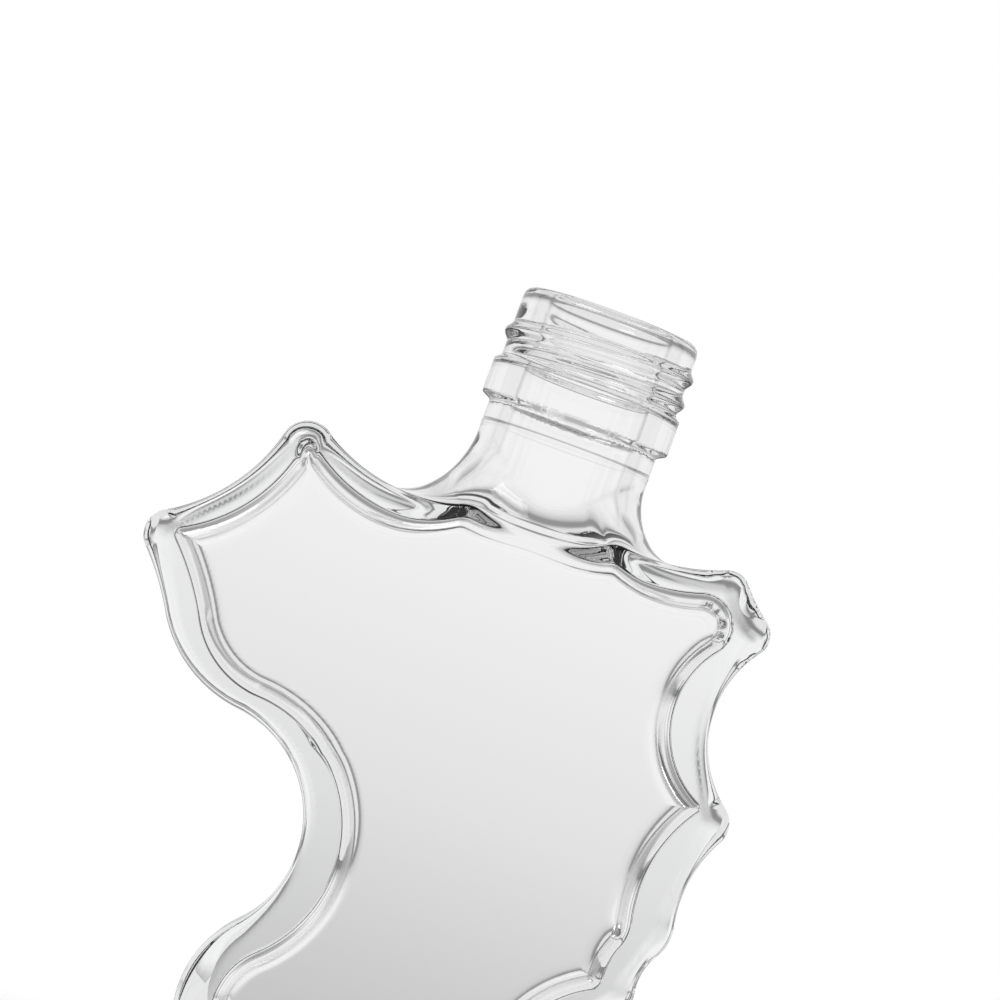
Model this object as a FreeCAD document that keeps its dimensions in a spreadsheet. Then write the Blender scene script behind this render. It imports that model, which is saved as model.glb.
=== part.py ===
"""A flat fancy glass bottle with a scalloped, pointed outline and a 28 mm screw finish.

Frame: +Z is up along the neck's axis, the front panel faces -Y, and the origin is on the base,
under the neck. Lengths are millimetres.

The body is a slab of glass whose outline is a closed chain of circular walls. Where two walls
meet, a tip of its own radius rounds the corner. The hollow inside follows the same chain, set in
by the thickness that the glass has at each wall, and the bore joins it under the shoulder.
"""
import FreeCAD, Part
import math
import os
from collections import namedtuple

Vector = FreeCAD.Vector
NODE = "bottle"

# ---------------------------------------------------------------------------
# Driving dimensions: sheet alias, value, what it is
# ---------------------------------------------------------------------------
SIZES = [
    ("body_depth", 30.0, "front panel to back panel"),
    ("panel_wall", 3.0, "glass behind each flat panel"),
    ("body_edge_radius", 2.0, "rounding between panel and side wall"),
    ("hollow_edge_radius", 2.3, "rounding inside, between panel and side wall"),
    ("overall_height", 121.4, "base to rim"),
    ("rim_radius", 13.0, "outside of the rim, and root of the thread"),
    ("rim_rounding", 1.4, "outer edge of the rim"),
    ("thread_radius", 13.8, "crest of the thread"),
    ("thread_pitch", 3.66, "rise in one turn"),
    ("thread_turns", 1.9, "length of the thread"),
    ("thread_width", 2.4, "foot of the ridge, along the neck"),
    ("thread_start_height", 111.0, "height of the thread's lower end"),
    ("thread_start_angle", 200.0, "degrees round the neck, from +X"),
    ("collar_radius", 13.85, "band under the thread"),
    ("collar_top", 110.3, "upper edge of the band"),
    ("collar_bottom", 105.2, "lower edge of the band"),
    ("collar_chamfer", 1.2, "height of the slope at each edge of the band"),
    ("neck_radius", 12.46, "plain neck under the band"),
    ("flare_start", 101.4, "height at which the neck starts to spread"),
    ("flare_left", 11.0, "how far it spreads to -X"),
    ("flare_right", 9.4, "how far it spreads to +X"),
    ("flare_depth", 1.7, "how far it spreads to the front and to the back"),
    ("shoulder_height", 87.0, "lower end of the flare, inside the slab"),
    ("bore_radius", 9.3, "inside of the neck"),
    ("bore_mouth_rounding", 0.9, "inner edge of the rim"),
    ("bore_flare_start", 99.0, "height at which the bore starts to spread"),
    ("bore_flare_spread", 6.5, "how far the bore spreads to each side"),
    ("bore_flare_depth", 2.2, "how far it spreads to the front and to the back"),
    ("bore_flare_end", 80.0, "lower end of the bore's flare, inside the hollow"),
]

# Each wall of the outline, clockwise seen from the front: the centre of its circle, its radius,
# bulge +1 where the circle lies outside the glass and bites into it, or -1 where the glass fills
# the circle, the thickness of the glass there, and the radius of the tip that ends the wall.
# A glass of 0 marks a short wall that the hollow cuts across.
# side picks which of the two crossings the tip takes. A tip of 0 means that the walls are tangent.
Wall = namedtuple("Wall", "name x z radius bulge glass tip side")

FLOOR_RADIUS = 10000.0
WALLS = [
    Wall("left_shoulder", -17.9, 112.2, 24.65, 1, 4.2, 5.0, 1),
    Wall("middle_shoulder", -0.4, 106.1, 18.48, 1, 4.2, 4.0, 1),
    Wall("right_shoulder", 15.8, 119.7, 29.24, 1, 3.6, 3.2, 1),
    Wall("cut_corner", 50.7, 108.7, 26.48, 1, 0.0, 3.2, 1),
    Wall("right_scallop", 47.3, 73.7, 15.51, 1, 5.4, 3.6, 1),
    Wall("right_waist", 54.3, 47.5, 17.98, 1, 4.4, 6.5, 1),
    Wall("right_notch", 42.6, 34.5, 8.00, 1, 4.4, 4.0, 1),
    Wall("lower_scallop", 39.4, 15.9, 14.33, 1, 5.4, 5.0, 1),
    Wall("base", 0.0, -FLOOR_RADIUS, FLOOR_RADIUS, 1, 5.5, 5.0, -1),
    Wall("foot", -9.7, 12.7, 15.51, -1, 5.0, 0.0, 1),
    Wall("bay", -32.2, 35.1, 0.0, 1, 5.0, 18.8, 1),
    Wall("left_slope", -78.8, 40.8, 39.52, 1, 3.0, 3.6, 1),
    Wall("left_scallop", -61.8, 95.6, 25.00, 1, 2.6, 3.8, 1),
]
SMALLEST_HOLLOW_TIP = 2.9


def finish_walls(walls):
    """Give the bay, which has no radius of its own, the one that makes it touch the foot."""
    foot = next(wall for wall in walls if wall.name == "foot")
    result = []
    for wall in walls:
        if wall.name == "bay":
            reach = math.hypot(wall.x - foot.x, wall.z - foot.z)
            wall = wall._replace(radius=reach - foot.radius)
        result.append(wall)
    return result


def inner_walls(walls):
    """The walls of the hollow: the same centres, set in by the glass."""
    result = []
    for wall in walls:
        if wall.glass:
            tip = max(wall.tip - wall.glass, SMALLEST_HOLLOW_TIP) if wall.tip else 0.0
            result.append(wall._replace(radius=wall.radius + wall.bulge * wall.glass, tip=tip))
    return result


def circle_crossing(x_a, z_a, radius_a, x_b, z_b, radius_b, side):
    """Where two circles cross, on the right of the way from a to b for side 1."""
    reach = math.hypot(x_b - x_a, z_b - z_a)
    along = (radius_a ** 2 - radius_b ** 2 + reach ** 2) / (2.0 * reach)
    across = side * math.sqrt(max(radius_a ** 2 - along ** 2, 0.0))
    unit_x, unit_z = (x_b - x_a) / reach, (z_b - z_a) / reach
    return x_a + along * unit_x + across * unit_z, z_a + along * unit_z - across * unit_x


def foot_on_wall(wall, x, z):
    """The point of the wall's circle nearest to x, z."""
    scale = wall.radius / math.hypot(x - wall.x, z - wall.z)
    return wall.x + (x - wall.x) * scale, wall.z + (z - wall.z) * scale


def outline_wire(walls, y):
    """The closed chain of arcs in the plane at y."""
    tips = []
    for index, wall in enumerate(walls):
        follower = walls[(index + 1) % len(walls)]
        if wall.tip:
            centre = circle_crossing(wall.x, wall.z, wall.radius + wall.bulge * wall.tip,
                                     follower.x, follower.z,
                                     follower.radius + follower.bulge * wall.tip, wall.side)
            tips.append((foot_on_wall(wall, *centre), centre, foot_on_wall(follower, *centre)))
        else:
            touch = foot_on_wall(wall, follower.x, follower.z)
            tips.append((touch, None, touch))
    edges = []
    for index, wall in enumerate(walls):
        start = tips[index - 1][2]
        end, tip_centre, tip_end = tips[index]
        edges.append(arc_edge(start, end, (wall.x, wall.z), wall.radius, wall.bulge, y))
        if tip_centre:
            edges.append(arc_edge(end, tip_end, tip_centre, wall.tip, -1, y))
    return Part.Wire(edges)


def arc_edge(start, end, centre, radius, bulge, y):
    """An arc from start to end: clockwise round its centre where the glass fills the circle."""
    first = math.atan2(start[1] - centre[1], start[0] - centre[0])
    turn = math.atan2(end[1] - centre[1], end[0] - centre[0]) - first
    if bulge > 0:
        turn = turn % (2.0 * math.pi)
    else:
        turn = -((-turn) % (2.0 * math.pi))
    middle = first + turn / 2.0
    if radius >= FLOOR_RADIUS:
        return Part.LineSegment(Vector(start[0], y, start[1]), Vector(end[0], y, end[1])).toShape()
    return Part.Arc(Vector(start[0], y, start[1]),
                    Vector(centre[0] + radius * math.cos(middle), y,
                           centre[1] + radius * math.sin(middle)),
                    Vector(end[0], y, end[1])).toShape()


def oval_wire(z, left, right, depth):
    """A closed section at height z: two half ellipses that meet at the front and the back."""
    halves = []
    for reach, sign in ((right, 1), (left, -1)):
        points = []
        for step in range(OVAL_STEPS + 1):
            angle = -math.pi / 2.0 + math.pi * step / OVAL_STEPS
            points.append(Vector(sign * reach * math.cos(angle), sign * depth * math.sin(angle), z))
        curve = Part.BSplineCurve()
        curve.interpolate(points, InitialTangent=Vector(sign, 0, 0), FinalTangent=Vector(-sign, 0, 0))
        halves.append(curve.toShape())
    return Part.Wire(halves)


OVAL_STEPS = 8
LAP = 0.06                  # a flare starts this much outside its barrel: no faces coincide
FLARE_SECTIONS = 7
THREAD_SECTIONS_PER_TURN = 20
THREAD_FADE = 0.16          # share of a turn over which each end of the thread runs out
THREAD_SINK = 0.5           # how deep the ridge's foot lies in the wall
THREAD_CREST_SHARE = 0.42   # width of the crest, as a share of the foot


def flare_loft(top, bottom, radius, left, right, depth):
    """A trumpet whose sides follow a quarter circle as they spread."""
    sections = []
    for step in range(FLARE_SECTIONS + 1):
        share = step / FLARE_SECTIONS
        spread = 1.0 - math.cos(share * math.pi / 2.0)
        drop = math.sin(share * math.pi / 2.0)
        z = top - (top - bottom) * drop
        sections.append(oval_wire(z, radius + LAP + left * spread, radius + LAP + right * spread,
                                  radius + LAP + depth * drop ** 2))
    return Part.makeLoft(sections, True, False)


def thread_solid(sizes):
    """The helical ridge, whose height runs out at both ends."""
    turns = sizes["thread_turns"]
    count = int(round(turns * THREAD_SECTIONS_PER_TURN))
    root = sizes["rim_radius"]
    height = sizes["thread_radius"] - root
    half_foot = sizes["thread_width"] / 2.0
    sections = []
    for step in range(count + 1):
        turn = turns * step / count
        fade = min(1.0, turn / THREAD_FADE, (turns - turn) / THREAD_FADE)
        rise = height * math.sin(fade * math.pi / 2.0) - 0.1 * (1.0 - fade)
        angle = math.radians(sizes["thread_start_angle"]) + 2.0 * math.pi * turn
        z = sizes["thread_start_height"] + sizes["thread_pitch"] * turn
        half_crest = half_foot * THREAD_CREST_SHARE
        section = [(root - THREAD_SINK, -half_foot), (root - 0.05, -half_foot),
                   (root + rise, -half_crest), (root + rise, half_crest),
                   (root - 0.05, half_foot), (root - THREAD_SINK, half_foot)]
        corners = [Vector(r * math.cos(angle), r * math.sin(angle), z + dz) for r, dz in section]
        sections.append(Part.makePolygon(corners + corners[:1]))
    return Part.makeLoft(sections, True, False)


# ---------------------------------------------------------------------------
# The document
# ---------------------------------------------------------------------------
def make_sheet(doc):
    sheet = doc.addObject("Spreadsheet::Sheet", "Sizes")
    for row, (alias, value, meaning) in enumerate(SIZES, start=1):
        sheet.set("A%d" % row, meaning)
        sheet.set("B%d" % row, str(value))
        sheet.setAlias("B%d" % row, alias)
    doc.recompute()
    return sheet, {alias: float(sheet.get(alias)) for alias, value, meaning in SIZES}


def feature(doc, name, shape):
    item = doc.addObject("Part::Feature", name)
    item.Shape = shape
    return item


def cylinder(doc, name, radius, bottom, top):
    """A cylinder on the neck's axis whose sizes are expressions on the sheet."""
    item = doc.addObject("Part::Cylinder", name)
    item.setExpression("Radius", radius)
    item.setExpression("Height", "(%s) - (%s)" % (top, bottom))
    item.setExpression("Placement.Base.z", bottom)
    return item


def cone(doc, name, bottom_radius, top_radius, bottom, top):
    item = doc.addObject("Part::Cone", name)
    item.setExpression("Radius1", bottom_radius)
    item.setExpression("Radius2", top_radius)
    item.setExpression("Height", "(%s) - (%s)" % (top, bottom))
    item.setExpression("Placement.Base.z", bottom)
    return item


def fuse(doc, name, items):
    item = doc.addObject("Part::MultiFuse", name)
    item.Shapes = items
    return item


def slab(doc, name, walls, depth, rounding):
    """The chain of walls as a slab across Y, with both of its outlines rounded over."""
    profile = feature(doc, name + "Profile", Part.Face(outline_wire(walls, 0.0)))
    block = doc.addObject("Part::Extrusion", name + "Block")
    block.Base = profile
    block.DirMode = "Custom"
    block.Dir = Vector(0, 1, 0)
    block.Symmetric = True
    block.Solid = True
    block.setExpression("LengthFwd", depth)
    doc.recompute()
    rounded = doc.addObject("Part::Fillet", name + "Rounded")
    rounded.Base = block
    edges = []
    for index, edge in enumerate(block.Shape.Edges, start=1):
        box = edge.BoundBox
        if box.YLength < 1e-6:
            edges.append((index, rounding, rounding))
    rounded.Edges = edges
    return rounded


def rim_barrel(doc, sizes):
    """The finish above the band, with its top edge rounded."""
    barrel = cylinder(doc, "RimBarrel", "Sizes.rim_radius", "Sizes.collar_bottom + 2",
                      "Sizes.overall_height")
    doc.recompute()
    rounded = doc.addObject("Part::Fillet", "RimRounded")
    rounded.Base = barrel
    rounded.Edges = [(index, sizes["rim_rounding"], sizes["rim_rounding"])
                     for index, edge in enumerate(barrel.Shape.Edges, start=1)
                     if edge.BoundBox.ZLength < 1e-6
                     and edge.BoundBox.ZMax > sizes["overall_height"] - 1e-3]
    return rounded


def outer_solid(doc, sizes, walls):
    body = slab(doc, "Body", walls, "Sizes.body_depth", sizes["body_edge_radius"])
    flare = feature(doc, "Flare", flare_loft(
        sizes["flare_start"], sizes["shoulder_height"], sizes["neck_radius"],
        sizes["flare_left"], sizes["flare_right"], sizes["flare_depth"]))
    neck = cylinder(doc, "NeckBarrel", "Sizes.neck_radius", "Sizes.flare_start - 1",
                    "Sizes.collar_bottom + 2")
    collar = cylinder(doc, "Collar", "Sizes.collar_radius", "Sizes.collar_bottom",
                      "Sizes.collar_top")
    collar_foot = cone(doc, "CollarFoot", "Sizes.neck_radius", "Sizes.collar_radius",
                       "Sizes.collar_bottom - Sizes.collar_chamfer", "Sizes.collar_bottom")
    collar_head = cone(doc, "CollarHead", "Sizes.collar_radius", "Sizes.rim_radius",
                       "Sizes.collar_top", "Sizes.collar_top + Sizes.collar_chamfer")
    thread = feature(doc, "Thread", thread_solid(sizes))
    return fuse(doc, "Outside", [body, flare, neck, collar, collar_foot, collar_head,
                                 rim_barrel(doc, sizes), thread])


def hollow_solid(doc, sizes, walls):
    body = slab(doc, "Hollow", inner_walls(walls), "Sizes.body_depth - 2 * Sizes.panel_wall",
                sizes["hollow_edge_radius"])
    flare = feature(doc, "BoreFlare", flare_loft(
        sizes["bore_flare_start"], sizes["bore_flare_end"], sizes["bore_radius"],
        sizes["bore_flare_spread"], sizes["bore_flare_spread"], sizes["bore_flare_depth"]))
    bore = cylinder(doc, "Bore", "Sizes.bore_radius", "Sizes.bore_flare_start - 1",
                    "Sizes.overall_height + 1")
    mouth = cone(doc, "Mouth", "Sizes.bore_radius",
                 "Sizes.bore_radius + 2 * Sizes.bore_mouth_rounding",
                 "Sizes.overall_height - Sizes.bore_mouth_rounding",
                 "Sizes.overall_height + Sizes.bore_mouth_rounding")
    return fuse(doc, "Inside", [body, flare, bore, mouth])


def check(doc, parts):
    for item in doc.Objects:
        if "Invalid" in item.State or "Error" in item.State:
            raise RuntimeError("%s failed: %s" % (item.Name, item.State))
    for part in parts:
        if part.Shape.isNull() or not part.Shape.isValid() or len(part.Shape.Solids) != 1:
            raise RuntimeError("%s has no single valid solid" % part.Label)


def main():
    doc = FreeCAD.newDocument("GlassBottle")
    sheet, sizes = make_sheet(doc)
    walls = finish_walls(WALLS)
    bottle = doc.addObject("Part::Cut", "Bottle")
    bottle.Base = outer_solid(doc, sizes, walls)
    bottle.Tool = hollow_solid(doc, sizes, walls)
    bottle.Label = NODE
    bottle.Placement = FreeCAD.Placement()
    doc.recompute()
    check(doc, [bottle])
    os.makedirs("parts", exist_ok=True)
    bottle.Shape.exportStep("parts/%s.step" % NODE)
    box = bottle.Shape.BoundBox
    print("box", [round(v, 2) for v in (box.XMin, box.YMin, box.ZMin, box.XMax, box.YMax, box.ZMax)])
    print("glass %.1f cm3" % (bottle.Shape.Volume / 1000.0))
    print("hollow %.1f cm3" % (bottle.Tool.Shape.Volume / 1000.0))


main()
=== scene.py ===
"""A clear, flat, fancy glass bottle with a scalloped outline and a 28 mm screw finish.

The bottle is one closed mesh: a field that is negative in the glass is sampled on a grid, its zero
surface is meshed, and each vertex is moved onto the exact surface. The outline is the CAD part's
chain of circular walls, near enough. Field lengths are millimetres; the mesh is in metres.
"""
import math
from collections import namedtuple

import bmesh
import bpy
import numpy as np
from mathutils import Matrix, Vector


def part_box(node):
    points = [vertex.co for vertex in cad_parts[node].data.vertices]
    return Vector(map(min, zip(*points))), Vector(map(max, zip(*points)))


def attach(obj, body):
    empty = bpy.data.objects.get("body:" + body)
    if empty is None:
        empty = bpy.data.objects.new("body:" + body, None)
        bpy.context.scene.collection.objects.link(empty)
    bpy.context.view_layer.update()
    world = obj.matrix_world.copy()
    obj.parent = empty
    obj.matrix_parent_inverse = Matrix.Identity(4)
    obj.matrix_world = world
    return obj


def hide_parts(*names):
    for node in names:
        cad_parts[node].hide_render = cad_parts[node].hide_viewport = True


MM = 0.001
NODE = "bottle"

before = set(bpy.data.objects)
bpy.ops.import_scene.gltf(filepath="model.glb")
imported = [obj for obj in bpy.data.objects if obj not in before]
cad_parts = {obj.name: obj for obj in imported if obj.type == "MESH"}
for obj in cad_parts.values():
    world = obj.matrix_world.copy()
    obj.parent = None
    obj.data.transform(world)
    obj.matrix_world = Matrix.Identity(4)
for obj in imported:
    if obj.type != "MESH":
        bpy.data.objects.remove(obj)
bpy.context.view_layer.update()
low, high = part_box(NODE)
HEIGHT = high[2] / MM
HALF_DEPTH = high[1] / MM

# ---------------------------------------------------------------------------
# The outline: circular walls, clockwise seen from the front
# ---------------------------------------------------------------------------
# bulge +1: the circle bites into the bottle; -1: the bottle fills it. tip is the radius that rounds
# the corner to the next wall, 0 where they touch. side tells which crossing of two circles is meant.
# The bay's radius is worked out by finish_walls.
Wall = namedtuple("Wall", "name x z radius bulge tip side")
Arc = namedtuple("Arc", "x z radius bulge first turn")

# the flat base is a wall too, of a circle so large that it is straight
FLOOR_RADIUS = 10000.0
BASE_GLASS = 5.5
WALLS = [
    Wall("left_shoulder", -17.9, 112.2, 24.65, 1, 5.0, 1),
    Wall("middle_shoulder", -0.4, 105.2, 18.48, 1, 4.0, 1),
    Wall("right_shoulder", 15.8, 119.7, 29.24, 1, 3.2, 1),
    Wall("cut_corner", 50.7, 108.7, 26.48, 1, 3.2, 1),
    Wall("right_scallop", 47.3, 73.7, 15.51, 1, 3.6, 1),
    Wall("right_waist", 54.3, 47.5, 17.98, 1, 6.5, 1),
    Wall("right_notch", 42.6, 34.5, 8.0, 1, 4.0, 1),
    Wall("lower_scallop", 39.4, 15.9, 14.33, 1, 5.0, 1),
    Wall("base", 0.0, -FLOOR_RADIUS, FLOOR_RADIUS, 1, 5.0, -1),
    Wall("foot", -9.7, 12.7, 15.51, -1, 0.0, 1),
    Wall("bay", -32.2, 35.1, 0.0, 1, 18.8, 1),
    Wall("left_slope", -78.8, 40.8, 39.52, 1, 3.6, 1),
    Wall("left_scallop", -61.8, 95.6, 25.0, 1, 3.8, 1),
]
# The hollow's walls curve more than the outside ones, so that the glass thins towards the tips
HOLLOW = [
    Wall("left_shoulder", -18.4, 107.0, 22.6, 1, 1.5, 1),
    Wall("middle_shoulder", -0.4, 105.2, 21.48, 1, 1.5, 1),
    Wall("right_shoulder", 16.4, 113.5, 26.2, 1, 4.6, 1),
    Wall("right_scallop", 39.9, 72.9, 13.3, 1, 0.9, 1),
    Wall("right_waist", 52.0, 47.0, 21.4, 1, 6.0, 1),
    Wall("right_notch", 41.0, 34.0, 11.0, 1, 2.0, 1),
    Wall("lower_scallop", 37.0, 16.2, 17.0, 1, 1.2, 1),
    Wall("base", 0.0, -FLOOR_RADIUS, FLOOR_RADIUS + BASE_GLASS, 1, 1.2, -1),
    Wall("foot", -9.7, 12.7, 10.51, -1, 0.0, 1),
    Wall("bay", -29.6, 34.6, 0.0, 1, 14.0, 1),
    Wall("left_slope", -76.0, 41.8, 40.8, 1, 1.2, 1),
    Wall("left_scallop", -57.5, 93.0, 23.2, 1, 1.8, 1),
]

# Where the outer edge is rounder, as it is round the tips: x, z, how much, and how far it reaches
Bulb = namedtuple("Bulb", "x z extra reach")
BULBS = [
    Bulb(-34.0, 91.0, 1.2, 4.0),
    Bulb(-49.5, 71.0, 2.0, 5.0),
    Bulb(31.5, 88.0, 1.8, 6.0),
    Bulb(38.0, 58.5, 2.4, 5.0),
    Bulb(36.0, 42.0, 1.2, 4.0),
    Bulb(33.0, 31.0, 1.8, 4.0),
    Bulb(-23.0, 15.0, 4.0, 9.0),
    Bulb(27.0, 4.0, 2.5, 7.0),
]

# The small oval dimple on the front of the upper left tip
DIMPLE_X, DIMPLE_Z = -33.6, 88.1
DIMPLE_WIDE, DIMPLE_TALL, DIMPLE_DEPTH = 1.15, 1.6, 0.4

# The front and back: the panels' glass, and the radius that rounds each edge. SOFTNESS 2 would be a
# circle; above that the rounding begins and ends more gently.
PANEL_WALL = 3.0
SOFTNESS = 2.6
BODY_EDGE = 1.5
TOP_EDGE = 2.4
TOP_FROM, TOP_TO = 70.0, 88.0
HOLLOW_EDGE = 3.4
# in front of the neck both edges are sharper
CREASE_EDGE = 0.9
CREASE_HOLLOW_EDGE = 1.2
CREASE_REACH = 17.0
CREASE_FROM, CREASE_TO = 76.0, 84.0

# The finish and the neck
RIM_RADIUS = 13.0
RIM_ROUNDING = 2.0
THREAD_HEIGHT = 0.8
THREAD_PITCH = 3.66
THREAD_TURNS = 1.9
THREAD_HALF_WIDTH = 1.5
THREAD_FADE = 0.16
THREAD_START_HEIGHT = 111.0
THREAD_START_ANGLE = math.radians(200.0)
COLLAR_RADIUS = 13.85
COLLAR_TOP = 110.6
COLLAR_BOTTOM = 104.8
COLLAR_SLOPE = 0.5
NECK_SPLIT = 100.9
NECK_LAP = 0.6
NECK_FOOT = 60.0
PARTING_HEIGHT = 101.2
PARTING_RIDGE = 0.06
PARTING_WIDTH = 0.28
NECK_RADIUS = 12.46
BORE_RADIUS = 9.3
MOUTH_ROUNDING = 1.4
FLARE_LEFT = 11.3
FLARE_RIGHT = 9.4
FLARE_FRONT = 6.6

# The grid: the size of its cells, and where one size gives way to the next
PAD = 1.5
COARSE = 0.56
MIDDLE = 0.42
FINE = 0.4
Y_COARSE = 1.0
Y_FINE = 0.42
NECK_REACH = 15.0
INNER_DEPTH = 8.0
MIDDLE_FROM = 78.0
FINE_FROM = 103.0
# How a vertex settles: the longest move in one round, and the least slope squared that is trusted
FAR_MOVE = 0.5
LEAST_SLOPE = 0.25
FLAT_ANGLE = math.radians(0.03)
TABLE_STEP = 0.1
TABLE_MARGIN = 4.0
TINY = 1e-9


def finish_walls(walls):
    """Give the bay the radius that makes it touch the foot."""
    foot = next(wall for wall in walls if wall.name == "foot")
    return [wall if wall.radius else
            wall._replace(radius=math.hypot(wall.x - foot.x, wall.z - foot.z) - foot.radius)
            for wall in walls]


def circle_crossing(x_a, z_a, radius_a, x_b, z_b, radius_b, side):
    """Where two circles cross, on the right of the way from a to b for side 1."""
    reach = math.hypot(x_b - x_a, z_b - z_a)
    along = (radius_a ** 2 - radius_b ** 2 + reach ** 2) / (2.0 * reach)
    across = side * math.sqrt(max(radius_a ** 2 - along ** 2, 0.0))
    unit_x, unit_z = (x_b - x_a) / reach, (z_b - z_a) / reach
    return x_a + along * unit_x + across * unit_z, z_a + along * unit_z - across * unit_x


def foot_on_wall(wall, x, z):
    """The point of the wall's circle nearest to x, z."""
    scale = wall.radius / math.hypot(x - wall.x, z - wall.z)
    return wall.x + (x - wall.x) * scale, wall.z + (z - wall.z) * scale


def make_arc(start, end, x, z, radius, bulge):
    """The arc from start to end, turning left for bulge 1 and right for -1."""
    first = math.atan2(start[1] - z, start[0] - x)
    turn = math.atan2(end[1] - z, end[0] - x) - first
    turn = turn % (2.0 * math.pi) if bulge > 0 else -((-turn) % (2.0 * math.pi))
    return Arc(x, z, radius, bulge, first, turn)


def outline_arcs(walls):
    """The closed chain as arcs: each wall, and then the tip that ends it."""
    tips = []
    for index, wall in enumerate(walls):
        after = walls[(index + 1) % len(walls)]
        if wall.tip:
            centre = circle_crossing(wall.x, wall.z, wall.radius + wall.bulge * wall.tip,
                                     after.x, after.z, after.radius + after.bulge * wall.tip,
                                     wall.side)
            tips.append((foot_on_wall(wall, *centre), centre, foot_on_wall(after, *centre)))
        else:
            touch = foot_on_wall(wall, after.x, after.z)
            tips.append((touch, None, touch))
    arcs = []
    for index, wall in enumerate(walls):
        start = tips[index - 1][2]
        end, centre, tip_end = tips[index]
        arcs.append(make_arc(start, end, wall.x, wall.z, wall.radius, wall.bulge))
        if centre:
            arcs.append(make_arc(end, tip_end, centre[0], centre[1], wall.tip, -1))
    return arcs


def inside_depth(arcs, x, z):
    """How deep each point lies inside the chain of arcs; negative outside it."""
    nearest = np.full(x.shape, np.inf)
    depth = np.zeros(x.shape)
    for arc in arcs:
        dx, dz = x - arc.x, z - arc.z
        reach = np.hypot(dx, dz)
        sense = math.copysign(1.0, arc.turn)
        angle = sense * (sense * (np.arctan2(dz, dx) - arc.first) % (2.0 * math.pi))
        gap = np.abs(reach - arc.radius)
        for end_angle in (arc.first, arc.first + arc.turn):
            end_gap = np.hypot(dx - arc.radius * math.cos(end_angle),
                               dz - arc.radius * math.sin(end_angle))
            ends = end_gap if end_angle == arc.first else np.minimum(ends, end_gap)
        gap = np.where(np.abs(angle) <= abs(arc.turn), gap, ends)
        signed = gap * np.sign((reach - arc.radius) * arc.bulge)
        closer = gap < nearest
        nearest = np.where(closer, gap, nearest)
        depth = np.where(closer, signed, depth)
    return depth


class DepthTable:
    """The depth inside a chain of arcs, worked out once on a fine grid and read between its points."""

    def __init__(self, walls):
        self.start = np.array([low[0], low[2]]) / MM - TABLE_MARGIN
        end = np.array([high[0], high[2]]) / MM + TABLE_MARGIN
        counts = np.ceil((end - self.start) / TABLE_STEP).astype(int) + 1
        x, z = np.meshgrid(*(self.start[a] + TABLE_STEP * np.arange(counts[a]) for a in (0, 1)),
                           indexing="ij")
        self.depth = inside_depth(outline_arcs(walls), x, z)
        self.last = counts - 1.001

    def __call__(self, x, z):
        across = np.clip((x - self.start[0]) / TABLE_STEP, 0.0, self.last[0])
        up = np.clip((z - self.start[1]) / TABLE_STEP, 0.0, self.last[1])
        i, k = across.astype(int), up.astype(int)
        s, t = across - i, up - k
        below = self.depth[i, k] * (1.0 - s) + self.depth[i + 1, k] * s
        above = self.depth[i, k + 1] * (1.0 - s) + self.depth[i + 1, k + 1] * s
        return below * (1.0 - t) + above * t


outer_depth = DepthTable(finish_walls(WALLS))
hollow_depth = DepthTable(finish_walls(HOLLOW))


# ---------------------------------------------------------------------------
# The field: negative in the glass
# ---------------------------------------------------------------------------
def rounded_both(depth_a, depth_b, radius):
    """The field of the space inside two walls, given the depth behind each, with a soft edge."""
    a, b = radius - depth_a, radius - depth_b
    corner = (np.maximum(a, 0.0) ** SOFTNESS + np.maximum(b, 0.0) ** SOFTNESS) ** (1.0 / SOFTNESS)
    return np.minimum(np.maximum(a, b), 0.0) + corner - radius


def rounded_join(field_a, field_b, radius):
    """The field of two solids joined with a hollow fillet."""
    a, b = np.maximum(radius - field_a, 0.0), np.maximum(radius - field_b, 0.0)
    return np.maximum(radius, np.minimum(field_a, field_b)) - np.hypot(a, b)


def smooth_step(start, end, value):
    """0 below start, 1 above end, and a soft rise between them."""
    share = np.clip((value - start) / (end - start), 0.0, 1.0)
    return share * share * (3.0 - 2.0 * share)


def thread_rise(angle, z):
    """How far the thread stands out of the finish."""
    rise = np.zeros(z.shape)
    first = (angle - THREAD_START_ANGLE) % (2.0 * math.pi) / (2.0 * math.pi)
    for lap in range(int(THREAD_TURNS) + 1):
        turn = first + lap
        fade = np.clip(np.minimum(turn, THREAD_TURNS - turn) / THREAD_FADE, 0.0, 1.0)
        offset = (z - THREAD_START_HEIGHT - THREAD_PITCH * turn) / THREAD_HALF_WIDTH
        ridge = 0.5 + 0.5 * np.cos(math.pi * np.clip(offset, -1.0, 1.0))
        rise = np.maximum(rise, THREAD_HEIGHT * np.sin(fade * math.pi / 2.0) * ridge)
    return rise


def neck_radius_at(angle, z):
    """The outside of the neck: plain below, then the collar, then the finish with its thread."""
    collar = smooth_step(COLLAR_BOTTOM - COLLAR_SLOPE, COLLAR_BOTTOM + COLLAR_SLOPE, z)
    above = smooth_step(COLLAR_TOP - COLLAR_SLOPE, COLLAR_TOP + COLLAR_SLOPE, z)
    radius = NECK_RADIUS + (COLLAR_RADIUS - NECK_RADIUS) * collar
    radius = radius + (RIM_RADIUS + thread_rise(angle, z) - COLLAR_RADIUS) * above
    return radius + PARTING_RIDGE * np.exp(-((z - PARTING_HEIGHT) / PARTING_WIDTH) ** 2)


def flare_radius(x, y, left, right, front):
    """The fillet's radius: wide to the sides, narrow in front."""
    across = (x * x / (x * x + y * y + TINY)) ** 2
    side = np.where(x < 0, left, right)
    return front + (side - front) * across


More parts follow.
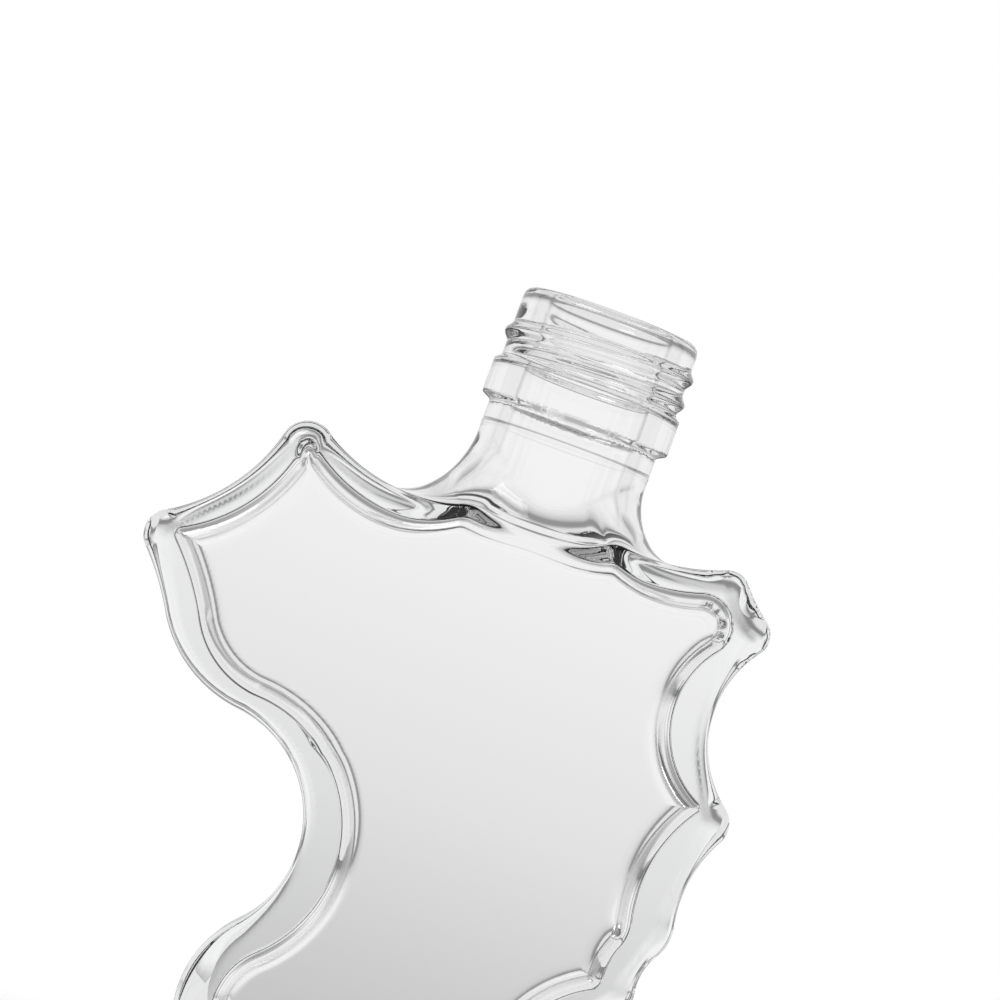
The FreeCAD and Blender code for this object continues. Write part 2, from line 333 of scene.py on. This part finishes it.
def glass_field(x, y, z):
    """The whole bottle: body and finish joined, less the hollow and the bore."""
    radius, angle = np.hypot(x, y), np.arctan2(y, x)
    edge = BODY_EDGE + (TOP_EDGE - BODY_EDGE) * smooth_step(TOP_FROM, TOP_TO, z)
    for bulb in BULBS:
        away = ((x - bulb.x) ** 2 + (z - bulb.z) ** 2) / bulb.reach ** 2
        edge = edge + bulb.extra * np.exp(-away)
    under_neck = smooth_step(CREASE_FROM, CREASE_TO, z) * np.exp(-(x / CREASE_REACH) ** 4)
    edge = edge + (CREASE_EDGE - edge) * under_neck
    hollow_edge = HOLLOW_EDGE + (CREASE_HOLLOW_EDGE - HOLLOW_EDGE) * under_neck
    neck = np.maximum(np.maximum(radius - NECK_RADIUS, z - NECK_SPLIT), NECK_FOOT - z)
    flare = flare_radius(x, y, FLARE_LEFT, FLARE_RIGHT, FLARE_FRONT)
    oval = ((x - DIMPLE_X) / DIMPLE_WIDE) ** 2 + ((z - DIMPLE_Z) / DIMPLE_TALL) ** 2
    dimple = np.where(y < 0.0, DIMPLE_DEPTH, 0.0) * np.exp(-oval ** 2)
    body = rounded_both(-rounded_join(-outer_depth(x, z), neck, flare),
                        HALF_DEPTH - dimple - np.abs(y), edge)
    finish = rounded_both(neck_radius_at(angle, z) - radius, HEIGHT - z, RIM_ROUNDING)
    finish = np.maximum(finish, NECK_SPLIT - NECK_LAP - z)

    over = np.clip(z - (HEIGHT - MOUTH_ROUNDING), 0.0, MOUTH_ROUNDING)
    bore_radius = BORE_RADIUS + MOUTH_ROUNDING - np.sqrt(MOUTH_ROUNDING ** 2 - over ** 2)
    bore = np.maximum(radius - bore_radius, NECK_FOOT - z)
    flare = flare + NECK_RADIUS - BORE_RADIUS
    hollow = rounded_both(-rounded_join(-hollow_depth(x, z), bore, flare),
                          HALF_DEPTH - PANEL_WALL - np.abs(y), hollow_edge)
    return np.maximum(np.minimum(body, finish), -hollow)


# ---------------------------------------------------------------------------
# From field to mesh
# ---------------------------------------------------------------------------
def surface_net(field, axes):
    """Vertices and quads of the field's zero surface: one vertex in each cell that it crosses."""
    inside = field < 0.0
    corners = [(i, j, k) for i in (0, 1) for j in (0, 1) for k in (0, 1)]
    size = tuple(n - 1 for n in field.shape)

    def corner(array, offset):
        i, j, k = offset
        return array[i:i + size[0], j:j + size[1], k:k + size[2]]

    count = sum(corner(inside, offset).astype(np.int8) for offset in corners)
    active = (count > 0) & (count < 8)
    cells = np.argwhere(active)
    number = np.full(size, -1, dtype=np.int64)
    number[active] = np.arange(len(cells))
    values = {offset: corner(field, offset)[active] for offset in corners}
    total = np.zeros((len(cells), 3))
    hits = np.zeros(len(cells))
    for axis in range(3):
        for start in corners:
            if start[axis]:
                continue
            end = tuple(1 if a == axis else start[a] for a in range(3))
            first, last = values[start], values[end]
            crosses = (first < 0) != (last < 0)
            share = np.where(crosses, first / np.where(crosses, first - last, 1.0), 0.0)
            point = np.tile(np.array(start, dtype=float), (len(cells), 1))
            point[:, axis] = share
            total += point * crosses[:, None]
            hits += crosses
    places = cells + total / hits[:, None]
    points = np.stack([np.interp(places[:, a], np.arange(len(axes[a])), axes[a])
                       for a in range(3)], axis=1)

    quads = []
    for axis in range(3):
        a, b = (axis + 1) % 3, (axis + 2) % 3
        change = inside != np.roll(inside, -1, axis=axis)
        edges = np.argwhere(change[1:-1, 1:-1, 1:-1]) + 1
        ring = []
        for da, db in ((-1, -1), (0, -1), (0, 0), (-1, 0)):
            index = edges.copy()
            index[:, a] += da
            index[:, b] += db
            ring.append(number[tuple(index.T)])
        ring = np.stack(ring, axis=1)
        outward = inside[tuple(edges.T)]
        quads.append(np.where(outward[:, None], ring, ring[:, ::-1]))
    return points, np.concatenate(quads)


def gradient(points, step=0.02):
    """The field's slope at each point."""
    result = np.empty(points.shape)
    for axis in range(3):
        ahead, behind = points.copy(), points.copy()
        ahead[:, axis] += step
        behind[:, axis] -= step
        result[:, axis] = (glass_field(*ahead.T) - glass_field(*behind.T)) / (2.0 * step)
    return result


def settle(points, rounds=3):
    """Move each vertex onto the exact surface, along the field's slope."""
    for _ in range(rounds):
        slope = gradient(points)
        length = np.maximum((slope ** 2).sum(axis=1), LEAST_SLOPE)
        move = slope * (glass_field(*points.T) / length)[:, None]
        points = points - np.clip(move, -FAR_MOVE, FAR_MOVE)
    return points


def grid_axis(*spans):
    """Points along an axis: each span is (start, end, cell)."""
    parts = [np.linspace(start, end, max(int(round((end - start) / cell)), 1), endpoint=False)
             for start, end, cell in spans]
    return np.concatenate(parts + [[spans[-1][1]]])


def merge_flats(mesh):
    """Join the faces that lie in one plane, and cut what is left into triangles and quads."""
    work = bmesh.new()
    work.from_mesh(mesh)
    bmesh.ops.dissolve_limit(work, angle_limit=FLAT_ANGLE, verts=work.verts, edges=work.edges)
    big = [face for face in work.faces if len(face.verts) > 4]
    bmesh.ops.triangulate(work, faces=big)
    work.to_mesh(mesh)
    work.free()


def bottle_mesh():
    """The bottle as one closed mesh in metres, shaded by the field's own slope."""
    start, end = np.array(low) / MM - PAD, np.array(high) / MM + PAD
    axes = [grid_axis((start[0], -NECK_REACH, COARSE), (-NECK_REACH, NECK_REACH, FINE),
                      (NECK_REACH, end[0], COARSE)),
            grid_axis((start[1], -INNER_DEPTH, Y_FINE), (-INNER_DEPTH, INNER_DEPTH, Y_COARSE),
                      (INNER_DEPTH, end[1], Y_FINE)),
            grid_axis((start[2], MIDDLE_FROM, COARSE), (MIDDLE_FROM, FINE_FROM, MIDDLE),
                      (FINE_FROM, end[2], FINE))]
    field = glass_field(*np.meshgrid(*axes, indexing="ij"))
    points, quads = surface_net(field, axes)
    mesh = bpy.data.meshes.new("bottle_glass")
    mesh.from_pydata(settle(points).tolist(), [], quads.tolist())
    merge_flats(mesh)
    points = np.empty((len(mesh.vertices), 3))
    mesh.vertices.foreach_get("co", points.ravel())
    normals = gradient(points)
    normals /= np.linalg.norm(normals, axis=1)[:, None]
    mesh.transform(Matrix.Scale(MM, 4))
    mesh.polygons.foreach_set("use_smooth", np.ones(len(mesh.polygons), dtype=bool))
    mesh.normals_split_custom_set_from_vertices(normals.tolist())
    mesh.update()
    return mesh


# ---------------------------------------------------------------------------
# Materials
# ---------------------------------------------------------------------------
WHITE = (1.0, 1.0, 1.0, 1.0)
GLASS_TINT = (0.93, 0.955, 0.95, 1.0)
GLASS_ABSORPTION = 6.0
GLASS_IOR = 1.5


def glass_material():
    material = bpy.data.materials.new("clear_glass")
    material.use_nodes = True
    nodes, links = material.node_tree.nodes, material.node_tree.links
    shader = nodes["Principled BSDF"]
    shader.inputs["Base Color"].default_value = WHITE
    shader.inputs["Transmission Weight"].default_value = 1.0
    shader.inputs["IOR"].default_value = GLASS_IOR
    shader.inputs["Roughness"].default_value = 0.0
    absorb = nodes.new("ShaderNodeVolumeAbsorption")
    absorb.inputs["Color"].default_value = GLASS_TINT
    absorb.inputs["Density"].default_value = GLASS_ABSORPTION
    links.new(absorb.outputs["Volume"], nodes["Material Output"].inputs["Volume"])
    return material


# ---------------------------------------------------------------------------
# Floor, world, camera
# ---------------------------------------------------------------------------
FLOOR_SIZE = 0.3
FLOOR_TONE = 0.8
FLOOR_WHITE = 0.8
FLOOR_LIFT = 0.12
FLOOR_SIDES = 96
# the surroundings' brightness, as the glass shows it, by the sine of the elevation
SKY = [(-1.0, 0.8), (-0.19, 0.8), (-0.12, 0.24), (-0.066, 0.24), (-0.04, 0.54), (-0.023, 0.625),
       (0.0, 0.76), (0.033, 0.865), (0.05, 0.9), (0.35, 0.9), (0.55, 0.5), (1.0, 0.3)]
# A dark strip to each side, by the sine of the bearing: its place, its tone, and how far from its
# middle the tone begins and ends to fade
STRIP_PLACE = 0.94
STRIP_TONE = 0.2
STRIP_CORE, STRIP_REACH = 0.006, 0.035
# The background beyond the bottle is a little darker to each side, between these bearings
SIDE_SHADE = 0.1
SHADE_FROM, SHADE_FULL = 0.35, 0.7
SHADE_FADES, SHADE_ENDS = 0.9, 0.97
BEYOND = 0.2


def math_node(nodes, links, operation, *values):
    """One Math node, fed with numbers and with other nodes' outputs."""
    node = nodes.new("ShaderNodeMath")
    node.operation = operation
    for socket, value in zip(node.inputs, values):
        if isinstance(value, (int, float)):
            socket.default_value = value
        else:
            links.new(value, socket)
    return node.outputs[0]


def map_range(nodes, links, value, from_low, from_high, to_low, to_high):
    """value carried smoothly from one range to another."""
    node = nodes.new("ShaderNodeMapRange")
    node.interpolation_type = "SMOOTHSTEP"
    links.new(value, node.inputs["Value"])
    for name, number in (("From Min", from_low), ("From Max", from_high),
                         ("To Min", to_low), ("To Max", to_high)):
        node.inputs[name].default_value = number
    return node.outputs["Result"]


def ray_kinds(nodes, links):
    """Two flags: 1 for a ray straight from the camera, and 1 for one that glass bent or mirrored."""
    path = nodes.new("ShaderNodeLightPath")
    either = math_node(nodes, links, "MAXIMUM", path.outputs["Is Glossy Ray"],
                       path.outputs["Is Transmission Ray"])
    return path.outputs["Is Camera Ray"], either


def make_floor():
    """White and matt, with the bottle's shadow; seen through the glass it glows evenly."""
    bpy.ops.mesh.primitive_circle_add(vertices=FLOOR_SIDES, radius=FLOOR_SIZE, fill_type="NGON")
    floor = bpy.context.object
    floor.name = "floor"
    material = bpy.data.materials.new("floor")
    material.use_nodes = True
    nodes, links = material.node_tree.nodes, material.node_tree.links
    matt = nodes["Principled BSDF"]
    matt.inputs["Base Color"].default_value = (FLOOR_WHITE, FLOOR_WHITE, FLOOR_WHITE, 1.0)
    matt.inputs["Roughness"].default_value = 1.0
    matt.inputs["Specular IOR Level"].default_value = 0.0
    camera_ray, glass_ray = ray_kinds(nodes, links)
    lift = nodes.new("ShaderNodeEmission")
    links.new(math_node(nodes, links, "MULTIPLY", camera_ray, FLOOR_LIFT), lift.inputs["Strength"])
    open_floor = nodes.new("ShaderNodeAddShader")
    links.new(matt.outputs[0], open_floor.inputs[0])
    links.new(lift.outputs[0], open_floor.inputs[1])
    glow = nodes.new("ShaderNodeEmission")
    glow.inputs["Strength"].default_value = FLOOR_TONE
    mix = nodes.new("ShaderNodeMixShader")
    links.new(glass_ray, mix.inputs["Fac"])
    links.new(open_floor.outputs[0], mix.inputs[1])
    links.new(glow.outputs[0], mix.inputs[2])
    links.new(mix.outputs[0], nodes["Material Output"].inputs["Surface"])
    floor.data.materials.append(material)


def make_world():
    """Plain white, but graded as the glass bends and mirrors it."""
    world = bpy.data.worlds.new("studio")
    bpy.context.scene.world = world
    world.use_nodes = True
    nodes, links = world.node_tree.nodes, world.node_tree.links
    background = nodes["Background"]
    coordinates = nodes.new("ShaderNodeTexCoord")
    split = nodes.new("ShaderNodeSeparateXYZ")
    links.new(coordinates.outputs["Generated"], split.inputs[0])
    height = split.outputs["Z"]
    sky = nodes.new("ShaderNodeValToRGB")
    links.new(math_node(nodes, links, "MULTIPLY_ADD", height, 0.5, 0.5), sky.inputs["Fac"])
    ramp = sky.color_ramp
    while len(ramp.elements) < len(SKY):
        ramp.elements.new(0.5)
    for element, (place, tone) in zip(ramp.elements, SKY):
        element.position = 0.5 + 0.5 * place
        element.color = (tone, tone, tone, 1.0)
    # a dark strip to each side
    side = math_node(nodes, links, "ABSOLUTE", split.outputs["X"])
    flat = math_node(nodes, links, "SQRT", math_node(nodes, links, "SUBTRACT", 1.0,
                     math_node(nodes, links, "MULTIPLY", height, height)))
    side = math_node(nodes, links, "DIVIDE", side, flat)
    away = math_node(nodes, links, "ABSOLUTE", math_node(nodes, links, "SUBTRACT", side, STRIP_PLACE))
    strip = map_range(nodes, links, away, STRIP_CORE, STRIP_REACH, STRIP_TONE, 1.0)
    tone = math_node(nodes, links, "MULTIPLY", sky.outputs["Color"], strip)
    # greyer to each side of the bright background, as far as the dark strips
    shade = math_node(nodes, links, "SUBTRACT",
                      map_range(nodes, links, side, SHADE_FROM, SHADE_FULL, 0.0, 1.0),
                      map_range(nodes, links, side, SHADE_FADES, SHADE_ENDS, 0.0, 1.0))
    shade = math_node(nodes, links, "MULTIPLY", shade,
                      map_range(nodes, links, split.outputs["Y"], 0.0, BEYOND, 0.0, SIDE_SHADE))
    tone = math_node(nodes, links, "MULTIPLY", tone,
                     math_node(nodes, links, "SUBTRACT", 1.0, shade))
    _, glass_ray = ray_kinds(nodes, links)
    tone = math_node(nodes, links, "MULTIPLY", tone, glass_ray)
    plain = math_node(nodes, links, "SUBTRACT", 1.0, glass_ray)
    strength = math_node(nodes, links, "ADD", tone, plain)
    links.new(strength, background.inputs["Strength"])
    background.inputs["Color"].default_value = WHITE


CAMERA_DISTANCE = 1.0
CAMERA_HEIGHT = 0.049
CAMERA_ROLL = math.radians(20.0)
VIEW_CENTRE = Vector((-0.0062, 0.0, 0.0915))
VIEW_WIDTH = 0.1408
SENSOR_WIDTH = 36.0
CAMERA_REACH = 20.0


def make_camera():
    """In front of the bottle, aimed a little left of its axis, and rolled so that it leans."""
    data = bpy.data.cameras.new("camera")
    camera = bpy.data.objects.new("camera", data)
    bpy.context.scene.collection.objects.link(camera)
    place = Vector((VIEW_CENTRE.x, -CAMERA_DISTANCE, CAMERA_HEIGHT))
    back = (place - VIEW_CENTRE).normalized()
    level = Vector((0, 0, 1)).cross(back).normalized()
    upright = back.cross(level)
    right = level * math.cos(CAMERA_ROLL) + upright * math.sin(CAMERA_ROLL)
    up = upright * math.cos(CAMERA_ROLL) - level * math.sin(CAMERA_ROLL)
    turn = Matrix((right, up, back)).transposed()
    camera.matrix_world = Matrix.Translation(place) @ turn.to_4x4()
    data.sensor_width = SENSOR_WIDTH
    data.lens = data.sensor_width * (place - VIEW_CENTRE).length / VIEW_WIDTH
    data.clip_end = CAMERA_REACH
    bpy.context.scene.camera = camera


LAMP_SIZE = 0.5
LAMP_ENERGY = 3.0
LAMP_PLACE = Vector((-0.5, -0.6, 0.8))
LAMP_AIM = Vector((0.0, 0.0, 0.06))


def make_lamp():
    data = bpy.data.lights.new("softbox", "AREA")
    data.size = LAMP_SIZE
    data.energy = LAMP_ENERGY
    lamp = bpy.data.objects.new("softbox", data)
    lamp.location = LAMP_PLACE
    lamp.rotation_euler = (LAMP_AIM - LAMP_PLACE).to_track_quat("-Z", "Y").to_euler()
    bpy.context.scene.collection.objects.link(lamp)


make_camera()
make_world()
make_floor()
make_lamp()

bottle = bpy.data.objects.new("bottle_glass", bottle_mesh())
bpy.context.scene.collection.objects.link(bottle)
bottle.data.materials.append(glass_material())
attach(bottle, "root")
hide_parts(NODE)

bpy.context.scene.view_settings.view_transform = "Standard"
